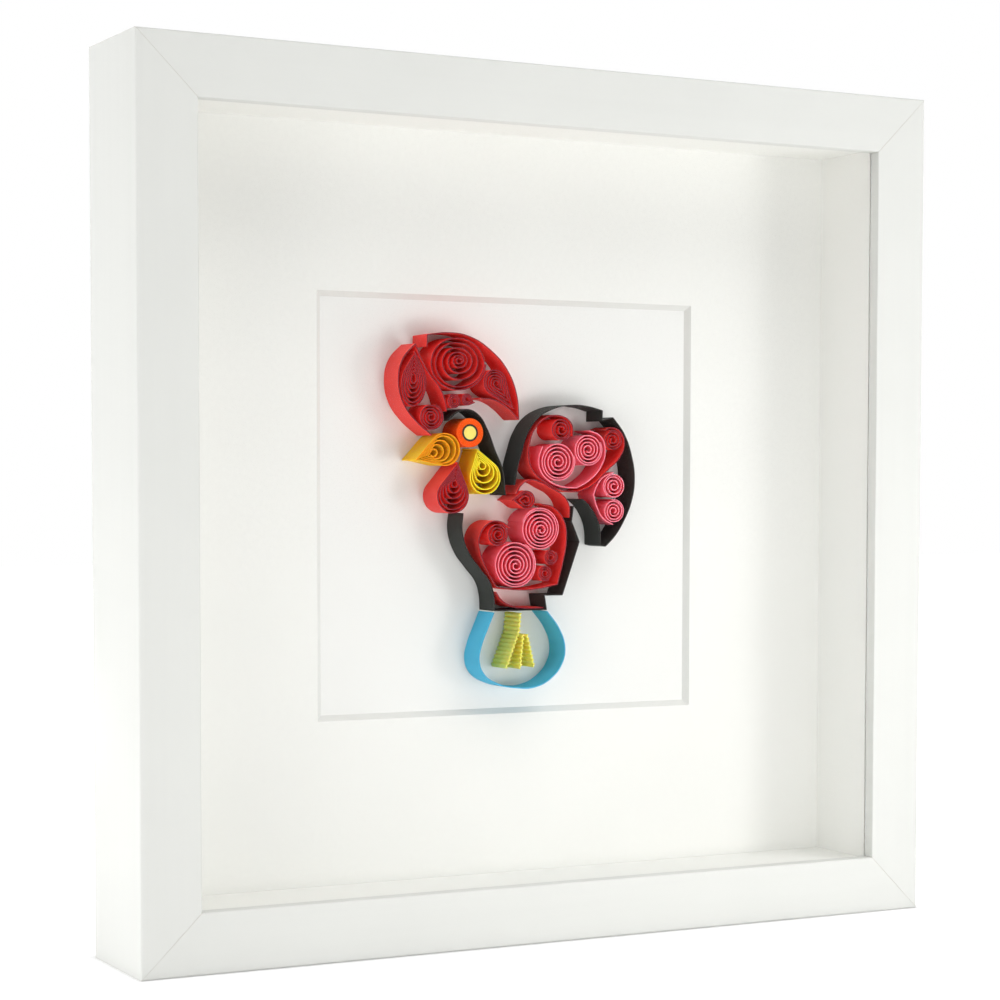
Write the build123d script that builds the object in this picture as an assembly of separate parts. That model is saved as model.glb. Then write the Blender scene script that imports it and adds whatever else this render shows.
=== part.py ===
from build123d import *
import os
from math import acos, cos, pi, sin

os.makedirs("parts", exist_ok=True)

# A deep square box frame that stands on its lower rail, with a quilled paper
# cockerel behind a bevelled window mat. X is the width, Y runs from front to
# back and Z is up. The origin lies under the middle of the frame.

# Moulding
frame_size = 250.0
frame_depth = 40.0
face_width = 17.0
lip_depth = 4.0
wall = 8.0
edge_ease = 0.6

# Sheets and strips in the rabbet, from front to back
glazing_thickness = 2.0
spacer_thickness = 8.0
mat_thickness = 1.6
card_thickness = 0.8
board_thickness = 2.5
back_recess = 2.1
sheet_clearance = 0.5

# Window in the mat, measured at the front of its bevel
window_size = 123.0
bevel_angle = 45.0

# Metal fittings
nail_height = 12.0
nail_leg = 4.0
nail_thickness = 0.5
nail_spread = 50.0
point_length = 12.0
point_grip = 4.0
point_width = 9.0
point_thickness = 0.5
points_per_side = 2
hanger_length = 44.0
hanger_height = 9.0
hanger_thickness = 0.6
hanger_rise = 0.9
hanger_foot = 9.0
hanger_drop = 22.0
tooth_pitch = 2.8
tooth_depth = 1.8
tooth_count = 7
rivet_diameter = 2.4
rivet_head = 4.2
rivet_dome = 0.6
rivet_sides = 12

# Quilling paper, drawn at the figure's full size
strip_height = 10.0
paper = 0.3
seam = 0.1
coil_core = 0.55
figure_margin = 9.75
turn_points = 4.8
eye_sides = 24
strip_step = 2.6
crimp_pitch = 1.3
crimp_depth = 0.45
mitre_limit = 2.5
least_points = 8

# Places worked out from the sizes above
front = -frame_depth / 2
middle = frame_size / 2
rabbet_half = frame_size / 2 - wall
sheet_half = rabbet_half - sheet_clearance
glazing_face = front + lip_depth
spacer_face = glazing_face + glazing_thickness
board_back = frame_depth / 2 - back_recess
board_face = board_back - board_thickness
card_face = board_face - card_thickness
mat_face = card_face - mat_thickness
spacer_depth = mat_face - spacer_face
art_plane = Plane((0, card_face, middle), x_dir=(1, 0, 0), z_dir=(0, -1, 0))


def save(shape, name):
    export_step(shape, f"parts/{name}.step")


def block(width, height, face, thickness):
    # A sheet centred in the frame, with its front at the given depth.
    return Pos(0, face + thickness / 2, middle) * Box(width, thickness, height)


def turned(shape, quarters):
    # The same piece on another side of the square frame.
    return shape.rotate(Axis((0, 0, middle), (0, 1, 0)), 90 * quarters)


# Paths and ribbons of paper, in the plane of the artwork

def ribbon(path, thickness):
    # The strip's section: the path, thickened to both sides with mitred bends.
    left, right = [], []
    last = len(path) - 1
    for i, point in enumerate(path):
        ahead = (path[min(i + 1, last)] - path[min(i, last - 1)]).normalized()
        behind = (path[max(i, 1)] - path[max(i - 1, 0)]).normalized()
        along = (ahead + behind).normalized()
        reach = thickness / 2 * min(1 / along.dot(ahead), mitre_limit)
        side = Vector(-along.Y, along.X) * reach
        left.append(point + side)
        right.append(point - side)
    return make_face(Polyline(*left, *reversed(right), close=True))


def smooth(points):
    # Even points along a curve through the few that are given.
    if len(points) == 2:
        return [Vector(*point) for point in points]
    curve = Spline(*[Vector(*point) for point in points])
    count = max(2, round(curve.length / strip_step))
    return [curve @ (i / count) for i in range(count + 1)]


def strip_path(runs):
    # Runs of smooth curve that meet at folds: each run starts where the last ended.
    path = smooth(runs[0])
    for run in runs[1:]:
        path += smooth([(path[-1].X, path[-1].Y)] + run)[1:]
    return path


def coil_path(centre, radius, turns, eye=(0, 0), tip=0, heading=0, stretch=1, growth=1):
    # A spiral from an off-centre eye to an outer turn that closes on itself.
    # Where tip is set, the turns are pinched towards a point that far from the centre.
    outer = radius - paper / 2
    lap = paper + seam
    steps = max(least_points, round(turn_points * radius ** 0.5))
    path = []
    for step in range(round(turns * steps) + 1):
        turn = step / steps
        share = min(turn / (turns - 1), 1) ** growth
        full = outer - lap * min(1, turns - turn)
        size = coil_core + (full - coil_core) * share
        reach = coil_core + (full * max(1, tip / radius) - coil_core) * share
        angle = 2 * pi * turn
        length = pinched(angle, size, reach)
        local = Vector(length * cos(angle) * stretch, length * sin(angle)).rotate(Axis.Z, heading)
        path.append(Vector(*centre) + Vector(*eye) * (1 - share) + local)
    return path


def pinched(angle, size, reach):
    # The distance to a circle that is drawn out to a point at angle zero.
    from_tip = abs((angle + pi) % (2 * pi) - pi)
    return size / cos(max(0, acos(size / reach) - from_tip))


def on_card(section, place=(0, 0)):
    # A drawn section, brought to the figure's size, becomes a strip that stands on the card.
    sized = Pos(Vector(*place) * figure_scale) * section.scale(figure_scale)
    return extrude(art_plane * sized, strip_height)


def crimped(start, end):
    # A strip pleated into small even folds.
    first, last = Vector(*start), Vector(*end)
    along = (last - first).normalized()
    across = Vector(-along.Y, along.X) * crimp_depth
    count = round((last - first).length / crimp_pitch) * 2
    return [first + (last - first) * (i / count) + across * (-1) ** i for i in range(count + 1)]


# Frame

def moulding():
    # The lower rail: an L section with a lip and a rabbet, mitred at both ends.
    corners = [
        (front, 0), (-front, 0), (-front, wall), (glazing_face, wall),
        (glazing_face, face_width), (front, face_width),
    ]
    section = make_face(Polyline(*corners, close=True))
    outside = [v for v in section.vertices() if abs(v.X) == -front]
    section = chamfer(outside, edge_ease)
    bar = extrude(Plane.YZ * section, frame_size / 2, both=True)
    triangle = Polyline((-middle, 0), (middle, 0), (0, middle), close=True)
    mitre = extrude(Plane.XZ * make_face(triangle), frame_depth, both=True)
    return bar & mitre


def corner_nails():
    # One V nail across each mitre, flush with the back of the frame.
    apex = Vector(middle - wall / 2, middle - wall / 2)
    inward = Vector(-nail_leg, 0)
    legs = [apex + inward.rotate(Axis.Z, 45 + turn) for turn in (nail_spread, -nail_spread)]
    section = ribbon([legs[0], apex, legs[1]], nail_thickness)
    back_plane = Plane((0, -front, middle), x_dir=(1, 0, 0), z_dir=(0, -1, 0))
    nail = extrude(back_plane * section, nail_height)
    return [turned(nail, side) for side in range(4)]


def retaining_points():
    # Flat steel tabs pushed into the rabbet wall and lying on the back board.
    spacing = 2 * rabbet_half / points_per_side
    tab = Box(point_width, point_thickness, point_length)
    depth = board_back + point_thickness / 2
    height = wall - point_grip + point_length / 2
    tabs = []
    for side in range(4):
        for i in range(points_per_side):
            across = (i - (points_per_side - 1) / 2) * spacing
            tabs.append(turned(Pos(across, depth, height) * tab, side))
    return tabs


def spacer_strips():
    # The side strips run the full height, and the others fit between them.
    depth = spacer_face + spacer_depth / 2
    offset = rabbet_half - spacer_thickness / 2
    upright = Box(spacer_thickness, spacer_depth, 2 * rabbet_half)
    level = Box(2 * (rabbet_half - spacer_thickness), spacer_depth, spacer_thickness)
    return {
        "left_spacer": Pos(-offset, depth, middle) * upright,
        "right_spacer": Pos(offset, depth, middle) * upright,
        "top_spacer": Pos(0, depth, middle + offset) * level,
        "bottom_spacer": Pos(0, depth, middle - offset) * level,
    }


def window_mat():
    # The window's edge is cut at a bevel, so it narrows towards the card.
    opening = Plane((0, mat_face, middle), x_dir=(1, 0, 0), z_dir=(0, 1, 0)) * Rectangle(window_size, window_size)
    cut = extrude(opening, mat_thickness, taper=bevel_angle)
    return block(2 * sheet_half, 2 * sheet_half, mat_face, mat_thickness) - cut


def rivet_places():
    reach = hanger_length / 2 - hanger_foot / 2
    height = middle + rabbet_half - hanger_drop
    return [(-reach, height), (reach, height)]


def rivet(x, z):
    # A shank through the board with a low flat head on the hanger.
    shank_plane = Plane((x, board_face, z), x_dir=(1, 0, 0), z_dir=(0, 1, 0))
    head_plane = Plane((x, board_back + hanger_thickness, z), x_dir=(1, 0, 0), z_dir=(0, 1, 0))
    shank = RegularPolygon(rivet_diameter / 2, rivet_sides)
    head = RegularPolygon(rivet_head / 2, rivet_sides)
    body = extrude(shank_plane * shank, board_thickness + hanger_thickness)
    return body + extrude(head_plane * head, rivet_dome, taper=bevel_angle)


def back_board(rivets):
    board = block(2 * sheet_half, 2 * sheet_half, board_face, board_thickness)
    for piece in rivets:
        board -= piece
    return board


def sawtooth_hanger(rivets):
    # A bent steel strip whose raised middle has teeth along its lower edge.
    foot = hanger_length / 2 - hanger_foot
    base = board_back + hanger_thickness / 2
    raised = base + hanger_rise
    half = hanger_length / 2
    path = [
        Vector(-half, base), Vector(-foot, base), Vector(-foot + hanger_rise, raised),
        Vector(foot - hanger_rise, raised), Vector(foot, base), Vector(half, base),
    ]
    top = middle + rabbet_half - hanger_drop + hanger_height / 2
    strip = extrude(Pos(0, 0, top - hanger_height) * ribbon(path, hanger_thickness), hanger_height)
    notch = Polyline((-tooth_pitch / 2, 0), (tooth_pitch / 2, 0), (0, tooth_depth), close=True)
    cutter = extrude(Plane.XZ * make_face(notch), frame_depth, both=True)
    for i in range(tooth_count):
        strip -= Pos((i - (tooth_count - 1) / 2) * tooth_pitch, 0, top - hanger_height) * cutter
    for piece in rivets:
        strip -= piece
    return strip


def build_frame():
    rail = moulding()
    nails = corner_nails()
    tabs = retaining_points()
    for side, name in enumerate(["bottom_rail", "left_stile", "top_rail", "right_stile"]):
        length = turned(rail, side)
        for piece in nails + tabs:
            length -= piece
        save(length, name)
    save(Compound(nails), "corner_v_nails")
    save(Compound(tabs), "retaining_points")
    save(block(2 * sheet_half, 2 * sheet_half, glazing_face, glazing_thickness), "glazing")
    for name, strip in spacer_strips().items():
        save(strip, name)
    save(window_mat(), "window_mat")
    save(block(2 * sheet_half, 2 * sheet_half, card_face, card_thickness), "artwork_card")
    rivets = [rivet(x, z) for x, z in rivet_places()]
    save(back_board(rivets), "back_board")
    save(sawtooth_hanger(rivets), "sawtooth_hanger")
    save(Compound(rivets), "hanger_rivets")


# The cockerel: places are millimetres from the middle of the window, right and up

outline_strips = {
    "comb_left_petal": [
        [(-29.6, 20.7), (-34.9, 25.0), (-38.7, 30.2), (-40.0, 36.5), (-38.6, 42.4), (-34.7, 46.7)],
        [(-32.9, 42.5), (-30.4, 38.3), (-27.4, 34.8), (-25.6, 31.2), (-24.8, 27.6)],
    ],
    "comb_rim": [
        [(-31.1, 46.0), (-30.9, 49.4)],
        [(-24.5, 50.2), (-17.6, 49.3), (-10.6, 45.4), (-5.2, 39.6), (-2.3, 32.6), (-1.6, 25.6)],
        [(-5.3, 28.9), (-9.5, 31.1), (-14.0, 31.6)],
    ],
    "head_strip": [
        [(-24.4, 25.0), (-21.6, 27.3), (-18.0, 28.2), (-14.6, 26.6), (-12.0, 22.8), (-9.4, 16.6), (-6.8, 10.5),
         (-6.0, 3.4)],
    ],
    "body_outline": [
        [(-19.6, -1.8), (-19.9, -7.0), (-17.8, -13.3), (-14.2, -18.0), (-11.0, -22.0), (-9.7, -26.0),
         (-9.4, -30.4)],
        [(7.6, -30.4)],
        [(6.9, -26.1)],
        [(12.9, -26.1)],
        [(18.5, -10.4)],
        [(15.9, -4.4)],
        [(16.5, 0.2)],
    ],
    "body_heart": [
        [(-4.6, -6.0), (-7.5, -4.3), (-11.5, -4.9), (-14.3, -8.6), (-14.0, -13.5), (-11.8, -18.6), (-8.9, -23.4)],
        [(-2.0, -24.4), (5.0, -24.1), (11.2, -23.0)],
        [(13.0, -16.5), (14.2, -9.5), (13.3, -4.0), (9.8, -0.1), (5.8, 0.8)],
    ],
    "breast_strip": [
        [(-2.4, 3.8), (-0.8, 6.3), (2.2, 7.9), (5.5, 7.3), (9.0, 5.6), (12.6, 3.7), (15.0, 0.6), (15.2, -3.2)],
    ],
    "lower_body_strip": [
        [(-9.0, -24.9), (-7.2, -27.3), (-3.6, -29.2), (1.0, -29.8), (6.6, -29.8)],
    ],
    "tail_outline": [
        [(-2.9, 6.4), (-2.1, 11.0), (-0.6, 16.5), (1.2, 21.5), (4.4, 25.9), (9.4, 28.8), (15.5, 30.0),
         (21.0, 29.8), (26.2, 28.6)],
        [(26.1, 25.6)],
        [(29.8, 26.6)],
        [(33.6, 21.8), (36.1, 15.5), (37.2, 8.5), (36.3, 2.0), (33.6, -4.2), (30.5, -8.8), (27.4, -11.8)],
        [(25.7, -11.4)],
        [(25.4, -6.5), (23.9, -2.6), (21.6, 0.5), (19.6, 2.2)],
    ],
    "tail_red_heart": [
        [(16.3, 20.9), (15.7, 24.7), (12.5, 26.8), (8.0, 26.4), (4.0, 23.4), (1.9, 18.5), (1.8, 13.6), (3.4, 10.2),
         (7.5, 7.0), (12.5, 5.0), (18.0, 4.4)],
        [(22.5, 6.2), (28.0, 10.9), (32.0, 14.6), (33.7, 18.4), (32.7, 22.0), (29.9, 23.6), (27.4, 23.0)],
    ],
    "tail_pink_heart": [
        [(6.2, 17.8), (5.0, 14.0), (5.6, 10.6), (8.2, 7.8), (12.6, 6.0), (17.6, 5.6)],
        [(22.0, 8.0), (25.8, 12.0), (27.2, 16.8), (25.6, 21.0), (21.8, 22.6)],
    ],
    "small_pink_heart": [
        [(30.2, 10.2), (26.6, 8.8), (24.4, 6.2), (23.3, 3.5)],
        [(24.6, -0.4), (26.8, -3.7), (30.0, -5.3)],
    ],
    "blue_base": [
        [(-9.6, -30.9), (-11.4, -35.0), (-13.6, -40.4), (-14.4, -45.0), (-12.8, -49.0), (-8.6, -51.8),
         (-2.0, -53.3), (4.0, -53.2), (9.5, -50.6), (13.1, -46.0), (13.8, -41.6), (12.0, -36.4), (7.8, -30.9)],
    ],
}

coils = {
    "comb_big_coil": dict(centre=(-21.2, 41.4), radius=7.8, turns=6, eye=(0.4, 1.0), stretch=1.15, growth=1.5),
    "comb_left_coil": dict(centre=(-35.3, 35.2), radius=4.1, turns=6, eye=(0, 1.8), tip=5.8, heading=88,
                           stretch=1.66),
    "comb_petal_coil": dict(centre=(-29.6, 25.9), radius=3.85, turns=4, heading=70),
    "comb_small_coil_left": dict(centre=(-22.6, 30.5), radius=2.2, turns=3, heading=130),
    "comb_small_coil_right": dict(centre=(-18.3, 31.2), radius=1.9, turns=3, tip=2.8, heading=-20),
    "comb_tip_coil": dict(centre=(-9.3, 36.3), radius=3.9, turns=5, eye=(0.6, -0.4), tip=10.1, heading=-51),
    "beak": dict(centre=(-25.3, 16.5), radius=4.95, turns=5, eye=(-4.0, -1.3), tip=10.0, heading=198.6),
    "wattle": dict(centre=(-22.9, 3.2), radius=5.25, turns=6, eye=(0.6, 3.9), tip=10.1, heading=81.5),
    "ear_lobe": dict(centre=(-12.6, 8.6), radius=5.15, turns=5, eye=(-1.2, 3.8), tip=8.9, heading=108.2),
    "body_upper_coil": dict(centre=(5.5, -6.5), radius=6.3, turns=6, eye=(0.5, -0.4), heading=160),
    "body_lower_coil": dict(centre=(-2.7, -16.9), radius=6.85, turns=6, eye=(0.3, -0.4), heading=60),
    "body_left_coil": dict(centre=(-8.4, -8.1), radius=3.4, turns=3.5, eye=(0.4, 0), heading=250),
    "body_small_coil_upper": dict(centre=(9.0, -14.9), radius=2.35, turns=3, heading=40),
    "body_small_coil_lower": dict(centre=(7.2, -19.6), radius=2.4, turns=3, heading=300),
    "breast_teardrop": dict(centre=(1.0, 2.0), radius=2.9, turns=3, tip=5.0, heading=182),
    "tail_pink_coil_left": dict(centre=(11.4, 13.3), radius=5.7, turns=5, heading=20),
    "tail_pink_coil_right": dict(centre=(21.5, 16.9), radius=4.75, turns=4.5, heading=210),
    "tail_red_coil_left": dict(centre=(12.4, 22.9), radius=3.3, turns=3, eye=(0.5, 0), heading=340),
    "tail_red_coil_right": dict(centre=(29.9, 19.9), radius=3.1, turns=3, heading=120),
    "small_pink_coil_upper": dict(centre=(30.2, 6.15), radius=3.75, turns=3.5, heading=50),
    "small_pink_coil_lower": dict(centre=(30.2, -1.3), radius=3.55, turns=3.5, heading=280),
}

drawn_heights = [height for runs in outline_strips.values() for run in runs for across, height in run]
figure_scale = (window_size - 2 * figure_margin) / (max(drawn_heights) - min(drawn_heights))

eye_centre = (-17.4, 21.5)
eye_radii = {"eye_disc": 1.95, "eye_black_ring": 2.5, "eye_orange_ring": 4.2}

toe_strips = {
    "left_toe_strip": [(-0.9, -31.2), (-1.4, -36.6), (-5.6, -47.4)],
    "middle_toe_strip": [(0.0, -37.6), (-1.0, -47.7)],
    "right_toe_strip": [(1.3, -37.6), (3.6, -47.3)],
}


def tight_rings():
    # Tightly wound coils have no gaps, so each is a plain disc or ring.
    inner = 0
    for name, radius in eye_radii.items():
        section = RegularPolygon(radius, eye_sides)
        if inner:
            section -= RegularPolygon(inner, eye_sides)
        inner = radius
        save(on_card(section, eye_centre), name)


def toe_path(points):
    path = []
    for start, end in zip(points, points[1:]):
        path += crimped(start, end)[1 if path else 0:]
    return path


def build_figure():
    for name, runs in outline_strips.items():
        save(on_card(ribbon(strip_path(runs), paper)), name)
    for name, shape in coils.items():
        save(on_card(ribbon(coil_path(**shape), paper)), name)
    for name, points in toe_strips.items():
        save(on_card(ribbon(toe_path(points), paper)), name)
    tight_rings()


build_frame()
build_figure()
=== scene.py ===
from math import cos, pi, radians, sin, tan
import bpy
import bmesh
from mathutils import Matrix, Vector


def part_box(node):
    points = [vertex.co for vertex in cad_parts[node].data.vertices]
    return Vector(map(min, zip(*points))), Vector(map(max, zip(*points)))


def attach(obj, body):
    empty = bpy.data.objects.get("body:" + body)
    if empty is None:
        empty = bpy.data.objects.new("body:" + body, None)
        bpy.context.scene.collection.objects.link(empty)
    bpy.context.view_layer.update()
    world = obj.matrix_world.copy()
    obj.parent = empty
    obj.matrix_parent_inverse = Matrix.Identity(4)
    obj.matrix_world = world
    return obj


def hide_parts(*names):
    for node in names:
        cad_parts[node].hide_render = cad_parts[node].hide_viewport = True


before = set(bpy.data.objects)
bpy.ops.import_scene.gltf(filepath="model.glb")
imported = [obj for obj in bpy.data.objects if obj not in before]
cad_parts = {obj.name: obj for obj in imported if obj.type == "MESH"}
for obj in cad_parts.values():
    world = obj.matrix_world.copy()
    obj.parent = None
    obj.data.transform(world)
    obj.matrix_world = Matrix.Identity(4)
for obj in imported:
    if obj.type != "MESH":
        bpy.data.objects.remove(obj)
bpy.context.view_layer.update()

mm = 0.001
print("packed model loaded,", len(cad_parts), "nodes")


# Small tools used by every piece

def feed(tree, node, links):
    # joins sockets, and sets plain values on the node's own inputs
    for key, value in links.items():
        if isinstance(value, bpy.types.NodeSocket):
            tree.links.new(value, node.inputs[key])
        else:
            node.inputs[key].default_value = value


def addNode(tree, kind, links=None, **settings):
    # one node, its settings and what feeds it
    node = tree.nodes.new(kind)
    for name, value in settings.items():
        setattr(node, name, value)
    feed(tree, node, links or {})
    return node


def calc(tree, operation, *values):
    return addNode(tree, "ShaderNodeMath", dict(enumerate(values)), operation=operation).outputs[0]


def vectorCalc(tree, operation, *values):
    return addNode(tree, "ShaderNodeVectorMath", dict(enumerate(values)), operation=operation).outputs[0]


def vectorScale(tree, vector, amount):
    node = addNode(tree, "ShaderNodeVectorMath", {0: vector, "Scale": amount}, operation="SCALE")
    return node.outputs[0]


def linkObject(obj):
    bpy.context.scene.collection.objects.link(obj)
    return obj


def meshPiece(name, mesh, material):
    if not mesh.materials:
        mesh.materials.append(material)
    return linkObject(bpy.data.objects.new(name, mesh))


def finishMesh(work, name, material, sharpAngle=35, mergeReach=0.002):
    # closes seams, turns faces outwards and keeps the hard edges sharp
    bmesh.ops.remove_doubles(work, verts=work.verts, dist=mergeReach * mm)
    bmesh.ops.recalc_face_normals(work, faces=work.faces)
    for face in work.faces:
        face.smooth = True
    for edge in work.edges:
        edge.smooth = edge.is_manifold and edge.calc_face_angle() < radians(sharpAngle)
    mesh = bpy.data.meshes.new(name)
    work.to_mesh(mesh)
    work.free()
    return meshPiece(name, mesh, material)


def place(piece, slot, *nodes):
    # the piece stands for its CAD nodes and moves with the frame
    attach(piece, "root")
    if nodes:
        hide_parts(*nodes)


def linear(red, green, blue):
    # 0 to 255 as picked from a swatch, made linear
    shares = (channel / 255 for channel in (red, green, blue))
    return tuple(((s + 0.055) / 1.055) ** 2.4 if s > 0.04045 else s / 12.92 for s in shares) + (1,)


# Camera

cameraView = {
    "place": (-0.3439, -0.6814, 0.1343),
    "azimuth": -30.05,
    "elevation": 3.21,
    "roll": 0.30,
    "lens": 93.73,
    "shift": (-0.179, 0.122),
}


def makeCamera():
    azimuth, elevation, roll = (radians(cameraView[key]) for key in ("azimuth", "elevation", "roll"))
    back = Vector((sin(azimuth) * cos(elevation), -cos(azimuth) * cos(elevation), sin(elevation)))
    right = (-back).cross(Vector((0, 0, 1))).normalized()
    up = back.cross(right)
    right, up = right * cos(roll) + up * sin(roll), up * cos(roll) - right * sin(roll)
    data = bpy.data.cameras.new("roomCamera")
    data.lens = cameraView["lens"]
    data.shift_x, data.shift_y = cameraView["shift"]
    camera = linkObject(bpy.data.objects.new("roomCamera", data))
    camera.matrix_world = Matrix.LocRotScale(
        Vector(cameraView["place"]), Matrix((right, up, back)).transposed(), None)
    bpy.context.scene.camera = camera


makeCamera()
bpy.context.scene.view_settings.view_transform = "Standard"
print("camera placed")


# Sizes of the frame in millimetres, which its materials read too

frameSizes = {
    "size": 250, "depth": 40, "face": 17, "wall": 8, "lip": 4,
    "opening": 218,  # between the fillets that hold the sheets back
    "outerRound": 0.6, "lipRound": 0.45, "mitreEase": 0.09,
}
frameMiddle = frameSizes["size"] / 2


# Materials. Colours are 0 to 255, reliefs a strength and a depth in millimetres.

paintLook = {
    "colour": (217, 218, 214), "shade": 0.9, "roughness": (0.36, 0.5), "specular": 0.3,
    "cloud": 28, "cloudShade": 0.2, "grainShade": 0.12, "peel": 520, "grainShare": 0.6,
    "relief": (0.12, 0.05),
    "joint": (188, 181, 170), "jointHalf": (0.06, 0.15), "fillPatches": 60, "fill": (0.15, 0.75),
}
boardLooks = {
    "mat": {
        "colour": (234, 234, 230), "core": (217, 217, 213), "roughness": (0.76, 0.88), "grain": 700,
        "relief": (0.4, 0.04),
    },
    "card": {
        "colour": (233, 233, 230), "core": (233, 233, 230), "roughness": (0.8, 0.92), "grain": 1300,
        "relief": (0.2, 0.04),
    },
    "fillet": {
        "colour": (238, 238, 234), "core": (238, 238, 234), "roughness": (0.76, 0.88), "grain": 900,
        "relief": (0.25, 0.04),
    },
}
boardFinish = {"shade": 0.955, "cloud": 22, "specular": 0.3, "cutEdge": (0.85, 0.95)}
# seep is how far light goes into the paper, in millimetres
# the edge tones are partly painted light: darker edges paint shade between the turns, lighter edges paint a
# highlight
paperLooks = {
    "paper_red": {"face": (246, 76, 72), "edge": (120, 40, 50), "seep": 0.7},
    "paper_pink": {"face": (255, 110, 128), "edge": (255, 130, 148), "seep": 0.9},
    "paper_black": {"face": (56, 58, 55), "edge": (44, 42, 41), "seep": 0},
    "paper_cream": {"face": (252, 222, 120), "edge": (255, 228, 122), "seep": 1.0},
    "paper_orange": {"face": (248, 92, 22), "edge": (238, 88, 20), "seep": 1.0},
    "paper_amber": {"face": (255, 198, 48), "edge": (255, 150, 22), "seep": 0.8},
    "paper_yellow": {"face": (255, 218, 40), "edge": (255, 222, 44), "seep": 0.8},
    "paper_lemon": {"face": (255, 240, 118), "edge": (255, 238, 104), "seep": 1.6},
    "paper_blue": {"face": (82, 186, 224), "edge": (70, 168, 208), "seep": 0},
}
paperFinish = {
    "shade": 0.9, "fibre": 1400, "cloud": 160, "patches": (0.35, 0.65), "cutEdge": (-0.95, -0.7),
    "roughness": (0.62, 0.78), "specular": 0.15, "relief": (0.25, 0.03),
    "seepShare": 0.7, "seepRadius": (1.0, 0.6, 0.5),
}
glassLook = {
    "tint": (0.998, 0.999, 0.998, 1), "sheen": 1.1, "smear": 12, "roughness": (0.004, 0.03),
    "backFrom": 1.5,  # behind the lip, where the pane's back begins
    # strength of the painted glow on the pane's rim
    "rimPaintedGlow": 0.6,
}
steelLook = {
    "colour": (196, 196, 192), "shade": 0.9, "cloud": 700, "brushing": (160, 2500, 2500),
    "roughness": (0.26, 0.46), "relief": (0.15, 0.02),
}
fibreLook = {
    "light": (176, 138, 98), "dark": (132, 96, 62), "flecks": (420, 420, 700), "cloud": 18,
    "fleckShare": 0.8, "patches": (0.36, 0.64), "roughness": (0.62, 0.85), "relief": (0.3, 0.06),
}


def newMaterial(name):
    material = bpy.data.materials.new(name)
    material.use_nodes = True
    tree = material.node_tree
    shader = tree.nodes["Principled BSDF"]
    coords = addNode(tree, "ShaderNodeTexCoord").outputs["Object"]
    return material, tree, shader, coords


def noise(tree, coords, scale, detail=3.0, roughness=0.5, stretch=None):
    if stretch:
        coords = addNode(tree, "ShaderNodeMapping", {"Vector": coords, "Scale": stretch}).outputs[0]
    links = {"Vector": coords, "Scale": scale, "Detail": detail, "Roughness": roughness}
    return addNode(tree, "ShaderNodeTexNoise", links).outputs["Fac"]


def remap(tree, value, low, high, fromLow=0.3, fromHigh=0.7):
    links = {"Value": value, "From Min": fromLow, "From Max": fromHigh, "To Min": low, "To Max": high}
    return addNode(tree, "ShaderNodeMapRange", links).outputs[0]


def blend(tree, first, second, share=0.5):
    # the first value by its share, and the second for the rest
    parts = (calc(tree, "MULTIPLY", first, share), calc(tree, "MULTIPLY", second, 1 - share))
    return calc(tree, "ADD", *parts)


def mixColour(tree, share, first, second):
    return addNode(tree, "ShaderNodeMix", {0: share, 6: first, 7: second}, data_type="RGBA").outputs[2]


def shaded(colour, amount):
    return tuple(channel * amount for channel in colour[:3]) + (1,)


def addBump(tree, shader, height, relief):
    strength, depth = relief
    links = {"Height": height, "Strength": strength, "Distance": depth * mm}
    feed(tree, shader, {"Normal": addNode(tree, "ShaderNodeBump", links).outputs[0]})


def paintMaterial(name, grain):
    # satin paint on wood, with a hairline of filler where the mitres meet
    material, tree, shader, coords = newMaterial(name)
    base = linear(*paintLook["colour"])
    cloud = noise(tree, coords, paintLook["cloud"], detail=2)
    grainNoise = noise(tree, coords, 1, detail=3, roughness=0.6, stretch=grain)
    tone = calc(tree, "ADD", remap(tree, cloud, paintLook["cloudShade"], 0.0),
                remap(tree, grainNoise, paintLook["grainShade"], 0.0))
    colour = mixColour(tree, tone, base, shaded(base, paintLook["shade"]))
    axes = addNode(tree, "ShaderNodeSeparateXYZ", {0: coords})
    across = calc(tree, "ABSOLUTE", axes.outputs[0])
    upright = calc(tree, "ABSOLUTE", calc(tree, "SUBTRACT", axes.outputs[2], frameMiddle * mm))
    offMitre = calc(tree, "ABSOLUTE", calc(tree, "SUBTRACT", across, upright))
    full, gone = (half * mm for half in paintLook["jointHalf"])
    filled = remap(tree, noise(tree, coords, paintLook["fillPatches"], detail=2), *paintLook["fill"])
    line = calc(tree, "MULTIPLY", remap(tree, offMitre, 1.0, 0.0, full, gone), filled)
    feed(tree, shader, {
        "Base Color": mixColour(tree, line, colour, linear(*paintLook["joint"])),
        "Roughness": remap(tree, cloud, *paintLook["roughness"]),
        "Specular IOR Level": paintLook["specular"],
    })
    peel = noise(tree, coords, paintLook["peel"], detail=2)
    addBump(tree, shader, blend(tree, grainNoise, peel, paintLook["grainShare"]), paintLook["relief"])
    return material


def boardMaterial(name):
    # soft board with a fibrous face; its cut edges show the core
    look = boardLooks[name]
    material, tree, shader, coords = newMaterial(name + "Board")
    base = linear(*look["colour"])
    fibre = noise(tree, coords, look["grain"], detail=2, roughness=0.65)
    cloud = noise(tree, coords, boardFinish["cloud"], detail=1)
    tone = blend(tree, remap(tree, fibre, 1.0, 0.0), remap(tree, cloud, 1.0, 0.0))
    colour = mixColour(tree, tone, base, shaded(base, boardFinish["shade"]))
    normal = addNode(tree, "ShaderNodeNewGeometry").outputs["True Normal"]
    facing = calc(tree, "ABSOLUTE", addNode(tree, "ShaderNodeSeparateXYZ", {0: normal}).outputs[1])
    cut = remap(tree, facing, 1.0, 0.0, *boardFinish["cutEdge"])
    feed(tree, shader, {
        "Base Color": mixColour(tree, cut, colour, linear(*look["core"])),
        "Roughness": remap(tree, fibre, *look["roughness"]),
        "Specular IOR Level": boardFinish["specular"],
    })
    addBump(tree, shader, fibre, look["relief"])
    return material


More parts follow.
